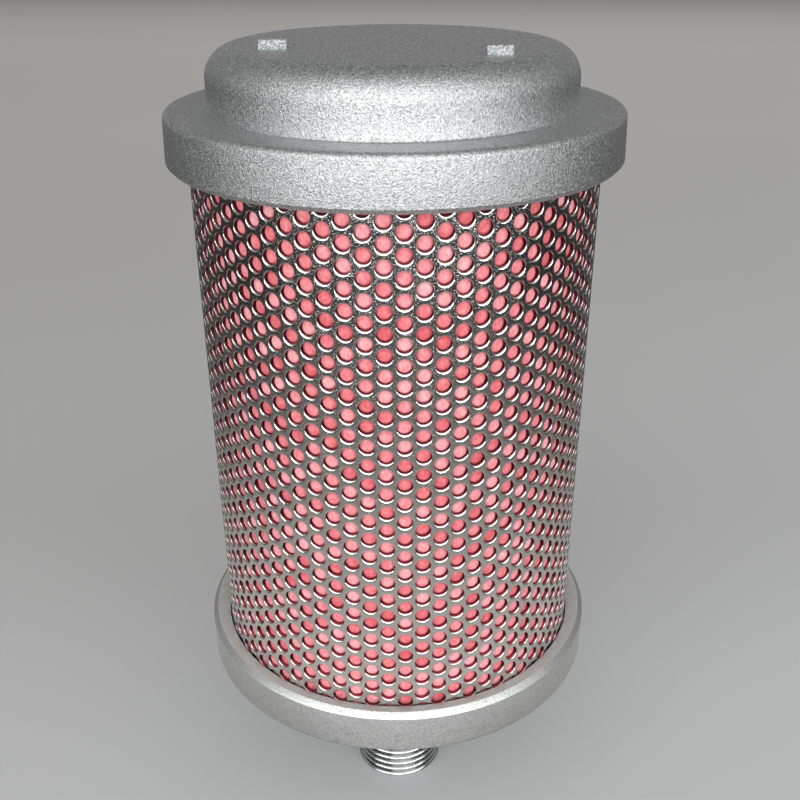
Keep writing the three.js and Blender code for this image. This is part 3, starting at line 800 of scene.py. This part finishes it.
def top_cap():
    outer = [
        (0.0, 171.6), (9.3, 171.6), (9.3, 164.6, 0.2), (13.5, 164.6, 0.3), (13.5, 172.2, 0.4),
        (28.6, 172.2, 1.5), (31.6, 169.2, 1.0), (31.6, 165.8, 0.5), (36.4, 162.2, 0.5),
        (36.4, 158.0, 0.25), (38.7, 158.0, 0.25), (38.7, 163.4, 0.2), (40.7, 163.4, 0.2),
        (40.7, 155.8, 0.2), (43.35, 155.8, 0.25), (44.2, 156.7, 0.3), (43.9, 165.58, 1.2),
        (35.3, 165.32, 0.4), (35.2, 176.6, 8.1), (0.0, 176.6),
    ]
    cap = lathe("top_cap_mesh", rounded(outer, 6), 288, 0.6)
    cap.data.materials.append(MAT["cast_aluminium"])
    cap.data.materials.append(cast_aluminium("blasted_casting_flat", 0.97, 1.0, 0.03, 1.5, 1.25))
    for f in cap.data.polygons:
        if f.center.z > 176.3 * MM and math.hypot(f.center.x, f.center.y) < 35.0 * MM:
            f.material_index = 1
    lugs = []
    for n, (x, y_front, width) in enumerate([(-21.4, -9.9, 5.2), (18.5, -19.0, 4.7)]):
        bm = bmesh.new()
        bmesh.ops.create_cube(bm, size=1.0)
        bmesh.ops.scale(bm, vec=(width, 3.2, 2.45), verts=bm.verts)
        bmesh.ops.bevel(bm, geom=list(bm.edges), offset=0.28, segments=2, profile=0.6, affect="EDGES")
        me = bpy.data.meshes.new("lug")
        bmesh.ops.translate(bm, verts=bm.verts, vec=(x, y_front + 1.6, 178.25 - 1.225))
        bmesh.ops.scale(bm, vec=(MM, MM, MM), verts=bm.verts)
        for f in bm.faces:
            f.smooth = True
        bm.to_mesh(me)
        bm.free()
        layer = me.uv_layers.new(name="OFBake")
        lug = bpy.data.objects.new(f"lug_{n}", me)
        scene.collection.objects.link(lug)
        lug.data.materials.append(cast_aluminium(f"torn_casting_{n}", 1.08, 2.6) if n == 0 else lugs[0].data.materials[0])
        lugs.append(lug)
    join_into(cap, *lugs)
    # the dome of the casting sits a little off centre on its flange
    co = np.empty(len(cap.data.vertices) * 3)
    cap.data.vertices.foreach_get("co", co)
    co = co.reshape(-1, 3)
    high = np.clip((co[:, 2] - 165.25 * MM) / (0.4 * MM), 0, 1) * (np.hypot(co[:, 0], co[:, 1]) < 35.6 * MM)
    co[:, 0] -= 0.35 * MM * high
    cap.data.vertices.foreach_set("co", co.ravel())
    cap.data.update()
    return stand_for(cap, "top_cap")


def ring(name, r0, r1, z0, z1, fillet=0.2, n=192):
    return lathe(name, rounded([(r0, z0, fillet), (r1, z0, fillet), (r1, z1, fillet), (r0, z1, fillet)]), n, 0.6)


def hexagon(name, af, hole_r, z0, z1, per_side=16):
    """Hexagon with turned-off corners and a round hole; flats face +X and -X."""
    n = per_side * 6
    th = TAU * np.arange(n) / n
    local = (th + math.pi / 6) % (math.pi / 3) - math.pi / 6      # from the middle of the side
    flat = af / 2 / np.cos(local)
    corner = af / math.sqrt(3)
    lim = corner - 0.12
    flat = np.where(flat > lim, lim - (flat - lim) * 0.1, flat)    # corners slightly blunt
    base = af / 2 - 0.25
    drop = (flat - base) * math.tan(math.radians(30))
    rows = [
        (np.full(n, hole_r), np.full(n, z0 + 0.0)),
        (np.full(n, base), np.full(n, z0 + 0.0)),
        (flat, z0 + drop),
        (flat, z1 - drop),
        (np.full(n, base), np.full(n, z1 + 0.0)),
        (np.full(n, hole_r), np.full(n, z1 + 0.0)),
    ]
    m = len(rows)
    verts, faces, uvs = [], [], []
    for i in range(n):
        for r, z in rows:
            verts.append((r[i] * math.cos(th[i]), r[i] * math.sin(th[i]), z[i]))
    v = [0.0, 0.2, 0.28, 0.55, 0.63, 0.83, 1.0]
    for i in range(n):
        i2 = (i + 1) % n
        for j in range(m):
            j2 = (j + 1) % m
            faces.append((i * m + j, i2 * m + j, i2 * m + j2, i * m + j2))
            uvs += [(i / n, v[j]), ((i + 1) / n, v[j]), ((i + 1) / n, v[j + 1]), (i / n, v[j + 1])]
    return tidy(new_object(name, verts, faces, uvs), 1e-7, 0.35)


def nipple():
    major, minor, pitch = 10.4775, 9.3155, 1.8143
    rho, rho_c = 0.2491, 0.50          # root and (plated) crest rounding
    half = math.radians(27.5)
    tz, tc = rho * math.cos(half), rho_c * math.cos(half)

    def form(x):
        """Radius of the rounded 55 degree thread at x mm from a crest."""
        x = abs((x + pitch / 2) % pitch - pitch / 2)
        if x < tc:
            return major - rho_c + math.sqrt(rho_c * rho_c - x * x)
        if x > pitch / 2 - tz:
            y = pitch / 2 - x
            return minor + rho - math.sqrt(rho * rho - y * y)
        r_a = major - rho_c + rho_c * math.sin(half)
        r_b = minor + rho - rho * math.sin(half)
        return r_a + (r_b - r_a) * (x - tc) / (pitch / 2 - tz - tc)

    steps = [-0.907, -0.80, -0.69, -0.57, -0.443, -0.32, -0.16, 0.0, 0.16, 0.32, 0.443, 0.57, 0.69, 0.80]
    n, k = 144, len(steps)
    z_lo, z_hi = 0.0, 19.6
    turns = int((z_hi - z_lo) / pitch) + 4
    total = k * turns
    verts = np.zeros((n, total, 3))
    zs, rs = np.zeros((n, total)), np.zeros((n, total))
    for i in range(n):
        th = TAU * i / n
        for q in range(total):
            # a right-hand helix: going round with th, the crest climbs
            z = (q // k - 2) * pitch + steps[q % k] + pitch * i / n + 0.62
            z_up = ((q + 1) // k - 2) * pitch + steps[(q + 1) % k] + pitch * i / n + 0.62
            zc = min(max(z, z_lo), z_hi)
            r = form(zc - pitch * i / n - 0.62)
            r = min(r, 9.85 + zc * 1.5)
            r = min(r, 9.17 + max(0.0, 18.9 - zc) * 1.5)
            r = 9.05 if z_up <= z_lo else r
            rs[i, q] = r
            verts[i, q] = (r * math.sin(th), -r * math.cos(th), zc)
            zs[i, q] = zc
    faces, uvs = [], []
    for i in range(n):
        i2 = (i + 1) % n
        off = k if i == n - 1 else 0
        for q in range(total - 1 - off):
            a, b = i * total + q, i2 * total + q + off
            if i == n - 1 and q + off + 1 >= total:
                continue
            za = (zs[i, q], zs[i2, q + off], zs[i2, q + off + 1], zs[i, q + 1])
            ra = (rs[i, q], rs[i2, q + off], rs[i2, q + off + 1], rs[i, q + 1])
            if max(za) - min(za) < 1e-6 and max(ra) - min(ra) < 1e-6:
                continue
            faces.append((a, b, b + 1, a + 1))
            uvs += [(i / n, za[0] / 60), ((i + 1) / n, za[1] / 60), ((i + 1) / n, za[2] / 60), (i / n, za[3] / 60)]
    thread = new_object("thread", verts.reshape(-1, 3), faces, uvs)
    # the rest of the turned body, open where the thread joins
    rest = rounded([
        (9.17, z_hi), (9.17, 25.0), (10.2, 25.0), (10.2, 56.0, 0.5), (9.0, 56.0, 0.2), (9.0, 50.0),
        (7.5, 50.0, 0.2), (7.5, 0.6, 0.1), (8.1, 0.0), (9.05, 0.0),
    ])
    m = len(rest)
    th = TAU * np.arange(n) / n
    v2 = np.stack([np.outer(np.sin(th), rest[:, 0]), -np.outer(np.cos(th), rest[:, 0]), np.tile(rest[:, 1], (n, 1))], -1).reshape(-1, 3)
    walked = np.concatenate([[0], np.cumsum(np.linalg.norm(np.diff(rest, axis=0), axis=1))])
    walked = 0.34 + 0.62 * walked / walked[-1]
    f2, u2 = [], []
    for i in range(n):
        i2 = (i + 1) % n
        for j in range(m - 1):
            f2.append((i * m + j, i2 * m + j, i2 * m + j + 1, i * m + j + 1))
            u2 += [(i / n, walked[j]), ((i + 1) / n, walked[j]), ((i + 1) / n, walked[j + 1]), (i / n, walked[j + 1])]
    body = new_object("nipple_body", v2, f2, u2)
    join_into(thread, body)
    tidy(thread, 2e-6, 0.7)
    hexa = hexagon("nipple_hex", 27.0, 9.0, 22.0, 31.0)
    for loop in hexa.data.uv_layers[0].data:
        loop.uv = (loop.uv[0], 0.965 + 0.03 * loop.uv[1])
    for o in (thread, hexa):
        o.data.materials.append(MAT["chromed_steel"])
    join_into(thread, hexa)
    return stand_for(thread, "inlet_nipple")


bottom_cap()
top_cap()
nipple()
stand_for(ring("seal", 10.6, 16.8, 31.3, 32.7, 0.25), "nipple_sealing_washer")
stand_for(ring("bg", 38.9, 40.7, 44.8, 46.2, 0.35), "bottom_gasket")
stand_for(ring("tg", 39.0, 40.4, 161.9, 163.1, 0.3), "top_gasket")
stand_for(ring("lw", 10.6, 16.5, 37.3, 38.7, 0.2), "nipple_lock_washer")
stand_for(ring("cw", 6.4, 12.0, 157.8, 159.0, 0.2), "core_washer")
stand_for(ring("ins", 6.3, 9.0, 164.9, 171.3, 0.3), "cap_thread_insert")
stand_for(hexagon("ln", 30.0, 10.55, 39.0, 45.0), "nipple_lock_nut")
stand_for(hexagon("cn", 18.0, 6.3, 159.3, 164.3), "core_lock_nut")
stand_for(lathe("bp", rounded([
    (10.6, 45.3, 0.2), (38.6, 45.3, 0.4), (38.6, 46.5, 0.4), (22.9, 46.5, 0.3), (22.9, 49.6, 0.3),
    (21.7, 49.6, 0.3), (21.7, 46.5, 0.3), (10.6, 46.5, 0.2),
]), 192, 0.6), "core_bottom_plate")
stand_for(lathe("tp", rounded([
    (6.4, 156.3, 0.2), (21.7, 156.3, 0.3), (21.7, 153.2, 0.3), (22.9, 153.2, 0.3), (22.9, 156.3, 0.3),
    (38.6, 156.3, 0.4), (38.6, 157.5, 0.4), (6.4, 157.5, 0.2),
]), 192, 0.6), "core_top_plate")


def stud():
    """Plug of the pipe with a screw thread on its stud."""
    prof = [(0.0, 146.0), (7.1, 146.0, 0.5), (7.1, 153.3), (12.0, 153.3, 0.3), (12.0, 156.0, 0.3)]
    z, pts = 156.0, [(6.0, 156.0)]
    while z < 169.4:
        pts += [(6.0, z + 0.22), (5.05, z + 0.80), (5.05, z + 1.0), (6.0, z + 1.58)]
        z += 1.75
    prof = prof + pts + [(6.0, 170.2), (5.2, 171.0, 0.1), (0.0, 171.0)]
    return stand_for(lathe("stud", rounded(prof, 3), 96, 0.6), "pipe_end_stud")


stud()


def felt_pad(name, r0, r1, z0, z1, node):
    ob = ring(name, r0, r1, z0, z1, 0.9, 120)
    co = np.array([v.co[:] for v in ob.data.vertices])
    push = rng.normal(0, 0.00006, len(co))
    nr = np.array([v.normal[:] for v in ob.data.vertices])
    ob.data.vertices.foreach_set("co", (co - np.abs(push)[:, None] * nr).astype(np.float32).ravel())
    ob.data.update()
    return stand_for(ob, node)


pad_low = felt_pad("pl", 17.8, 28.5, 37.6, 45.0, "bottom_felt_pad")
pad_top = felt_pad("pt", 13.8, 28.0, 165.9, 171.9, "top_felt_pad")


# -------------------------------------------------------------------- stage
def plane(name, x0, x1, y0, y1, z, mat):
    me = bpy.data.meshes.new(name)
    me.from_pydata([(x0, y0, z), (x1, y0, z), (x1, y1, z), (x0, y1, z)], [], [(0, 1, 2, 3)])
    me.materials.append(mat)
    ob = bpy.data.objects.new(name, me)
    scene.collection.objects.link(ob)
    return ob


def floor_paint():
    """Pale paper with painted light: a little lighter and warmer far behind, a little cooler in front and lighter and
    cooler to the right.
    """
    m = Nodes("floor_paper_painted_light")
    tone = m.noise(6.0, 2.0, 0.5)
    far = m.span(m.axis("Y"), -0.2, 1.6, 0.0, 1.0)
    side = m.span(m.axis("X"), -0.5, 0.5, 0.0, 1.0)
    # painted light: the paper is made lighter and warmer far behind
    c = m.ramp(far, [
        (0.03, (0.57, 0.575, 0.58)), (0.18, (0.515, 0.515, 0.51)), (0.34, (0.555, 0.55, 0.54)), (0.56, (0.645, 0.635, 0.62)),
        (0.90, (0.70, 0.68, 0.665)),
    ])
    # painted light: cooler and lighter to the right, most in front
    c = m.mix(m.math("MULTIPLY", side, m.span(far, 0.10, 0.5, 0.40, 0.16)), c, (0.85, 0.90, 0.93))
    c = m.mix(m.span(tone, 0.3, 0.7, 0.0, 0.03), c, (0.4, 0.4, 0.4))
    mat = m.shader(Base_Color=c, Roughness=0.9)
    m.bsdf.inputs["Specular IOR Level"].default_value = 0.2
    return mat


def reflection_card_paint():
    """Painted reflections, what the bright metal mirrors: dark right under the object, the paper just round it and
    brighter in front of it, then ever darker floor.
    """
    m = Nodes("painted_reflections")
    x, y = m.axis("X"), m.axis("Y")
    r = m.math("SQRT", m.math("ADD", m.math("MULTIPLY", x, x), m.math("MULTIPLY", y, y)))
    # painted reflection: a brighter patch in front of the object, close to its foot
    ahead = m.span(m.math("DIVIDE", m.math("ABSOLUTE", m.math("ADD", x, -0.002)), m.math("MAXIMUM", m.math("MULTIPLY", y, -1.0), 0.0001)), 0.34, 0.46, 1.0, 0.0)
    near = m.math("MULTIPLY", ahead, m.span(r, 0.045, 0.09, 0.62, 0.0))
    c = m.ramp(m.span(r, 0.0, 0.6, 0.0, 1.0), [
        (0.10, (0.05, 0.05, 0.05)), (0.15, (0.62, 0.605, 0.585)), (0.33, (0.30, 0.285, 0.275)), (0.50, (0.11, 0.102, 0.10)), (0.72, (0.012, 0.011, 0.011)),
    ])
    behind = m.math("MULTIPLY", m.span(y, 0.0, 0.5, 0.0, 0.08), m.span(r, 0.2, 0.4, 0.0, 1.0))
    c = m.mix(behind, c, (0.9, 0.9, 0.9))
    mat = m.shader(Base_Color=m.mix(near, c, (0.95, 0.93, 0.91)), Roughness=0.9)
    m.bsdf.inputs["Specular IOR Level"].default_value = 0.2
    return mat


floor = plane("floor", -4.0, 4.0, -4.0, 6.0, 0.0, floor_paint())
# painted reflections: a card seen by reflections only, standing in for the dark room around a narrow paper sweep
card = plane("card", -3.0, 3.0, -3.0, 3.0, 0.0005, reflection_card_paint())
card.visible_camera = False
card.visible_diffuse = False
card.visible_shadow = False


def area(name, at, aim, size, size_y, radiance, colour=(1, 1, 1)):
    data = bpy.data.lights.new(name, "AREA")
    data.shape = "RECTANGLE"
    data.size, data.size_y, data.color = size, size_y, colour
    data.energy = radiance * math.pi * size * size_y
    ob = bpy.data.objects.new(name, data)
    scene.collection.objects.link(ob)
    ob.location = at
    ob.rotation_mode = "QUATERNION"
    ob.rotation_quaternion = (Vector(aim) - Vector(at)).to_track_quat("-Z", "Y")
    return ob


area("front", (0.10, -1.30, 0.32), (0.10, 0, 0.32), 5.2, 0.56, 3.9, (1.0, 1.0, 1.0))
area("high", (0.05, -0.98, 0.98), (0, 0, 0.14), 3.4, 1.05, 0.97, (1.0, 1.0, 1.0))
area("top", (0.0, -0.84, 1.28), (0, 0, 0.14), 3.2, 0.45, 0.68, (1.0, 0.99, 0.98))
fill = area("fill", (0.2, 1.70, 1.10), (0, 0, 0.10), 3.2, 1.4, 0.45, (1.0, 0.99, 0.97))
fill.visible_glossy = False

world = bpy.data.worlds.new("world")
world.use_nodes = True
world.node_tree.nodes["Background"].inputs[0].default_value = (1.0, 0.985, 0.965, 1.0)
world.node_tree.nodes["Background"].inputs[1].default_value = 0.26
scene.world = world
